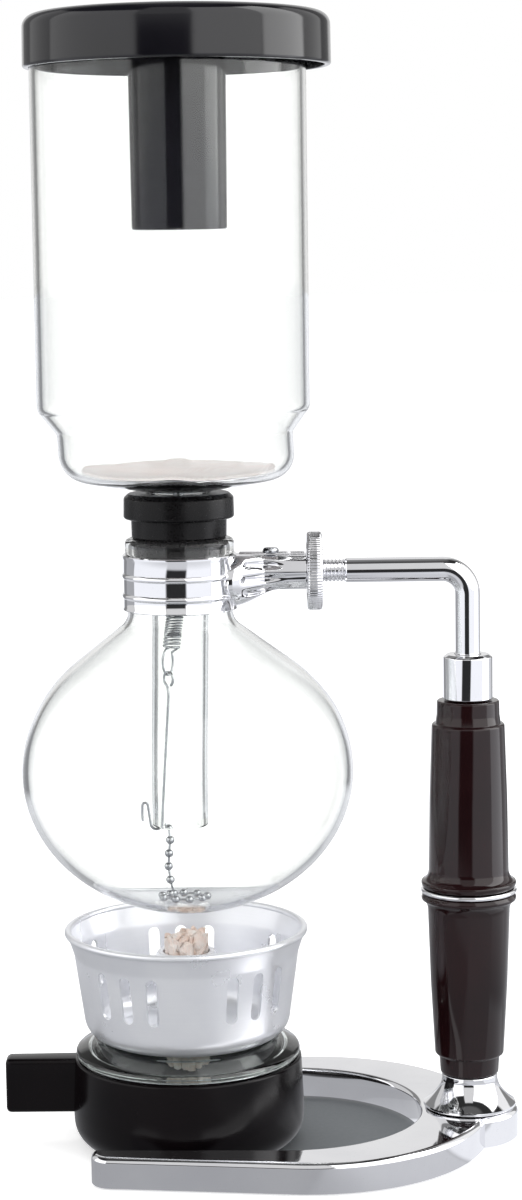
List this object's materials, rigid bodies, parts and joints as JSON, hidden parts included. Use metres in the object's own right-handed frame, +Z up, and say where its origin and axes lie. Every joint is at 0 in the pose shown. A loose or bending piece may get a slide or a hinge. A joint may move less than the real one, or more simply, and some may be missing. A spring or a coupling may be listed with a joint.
{
  "type": "table-top vacuum coffee brewer",
  "caption": "Vacuum coffee brewer: a glass chamber with a lid stands in a glass bulb held by a clamp and arm on a turned handle and horseshoe base, over a spirit burner with a windscreen.",
  "frame": {"origin": "on the table, under the middle of the brewer's outer box", "axes": "+Z up; +X from the burner's side handle towards the post; -Y is the front, so the post is on the right of the glass"},
  "size_m": [0.1666, 0.1142, 0.361],
  "materials": {
    "clear_glass": "clear blown heat-resistant glass",
    "chrome": "bright chrome plate",
    "zinc_steel": "plain plated steel",
    "satin_aluminium": "spun, satin",
    "dark_gloss": "dark brown, polished",
    "black_gloss": "black, polished",
    "holder_plastic": "near black, smooth moulded",
    "stopper_rubber": "dark, matt",
    "pad_rubber": "dark, matt",
    "filter_cotton": "undyed woven cotton",
    "wick_cotton": "undyed braided cotton"
  },
  "bodies": {
    "stand": {"base_plate": "chrome", "base_pad_1": "pad_rubber", "base_pad_2": "pad_rubber", "base_pad_3": "pad_rubber", "base_pad_4": "pad_rubber", "post_foot": "chrome", "foot_washer": "zinc_steel", "foot_nut": "zinc_steel", "tie_rod": "zinc_steel", "handle_lower": "dark_gloss", "handle_ring": "chrome", "handle_upper": "dark_gloss", "top_ferrule": "chrome", "arm_rod": "chrome", "neck_clamp": "chrome", "clamp_screw": "zinc_steel", "lower_bulb": "clear_glass"},
    "thumb_nut": {"thumb_nut": "chrome"},
    "upper_chamber": {"upper_bowl": "clear_glass", "stopper": "stopper_rubber", "filter_cloth": "filter_cotton", "filter_plate_top": "zinc_steel", "filter_plate_bottom": "zinc_steel", "filter_stud": "zinc_steel", "filter_spring": "zinc_steel"},
    "hook": {"hook_wire": "zinc_steel", "bead_chain": "zinc_steel"},
    "lid": {"lid": "black_gloss"},
    "lamp": {"lamp_holder": "holder_plastic", "lamp_reservoir": "clear_glass"},
    "burner_cap": {"wick_collar": "satin_aluminium"},
    "wick": {"wick": "wick_cotton"},
    "windscreen": {"windscreen": "satin_aluminium"}
  },
  "joints": [
    {"name": "thumb_nut_turn", "type": "hinge", "parent": "stand", "child": "thumb_nut", "pos_m": [0.0189, 0, 0.1865], "axis": [1, 0, 0], "continuous": true},
    {"name": "upper_chamber_lift", "type": "slide", "parent": "stand", "child": "upper_chamber", "axis": [0, 0, 1], "range_m": [0, 0.125]},
    {"name": "lid_lift", "type": "slide", "parent": "upper_chamber", "child": "lid", "axis": [0, 0, 1], "range_m": [0, 0.066]},
    {"name": "hook_pull", "type": "slide", "parent": "upper_chamber", "child": "hook", "axis": [0, 0, -1], "range_m": [0, 0.006], "stiffness_N_per_m": 60, "springref_m": -0.002, "deforming": ["filter_spring", "bead_chain"]},
    {"name": "lamp_slide", "type": "slide", "parent": "stand", "child": "lamp", "axis": [-1, 0, 0], "range_m": [0, 0.12]},
    {"name": "windscreen_lift", "type": "slide", "parent": "lamp", "child": "windscreen", "axis": [0, 0, 1], "range_m": [0, 0.014]},
    {"name": "burner_cap_lift", "type": "slide", "parent": "lamp", "child": "burner_cap", "axis": [0, 0, 1], "range_m": [0, 0.003]},
    {"name": "wick_adjust", "type": "slide", "parent": "burner_cap", "child": "wick", "axis": [0, 0, 1], "range_m": [-0.004, 0.002]}
  ]
}
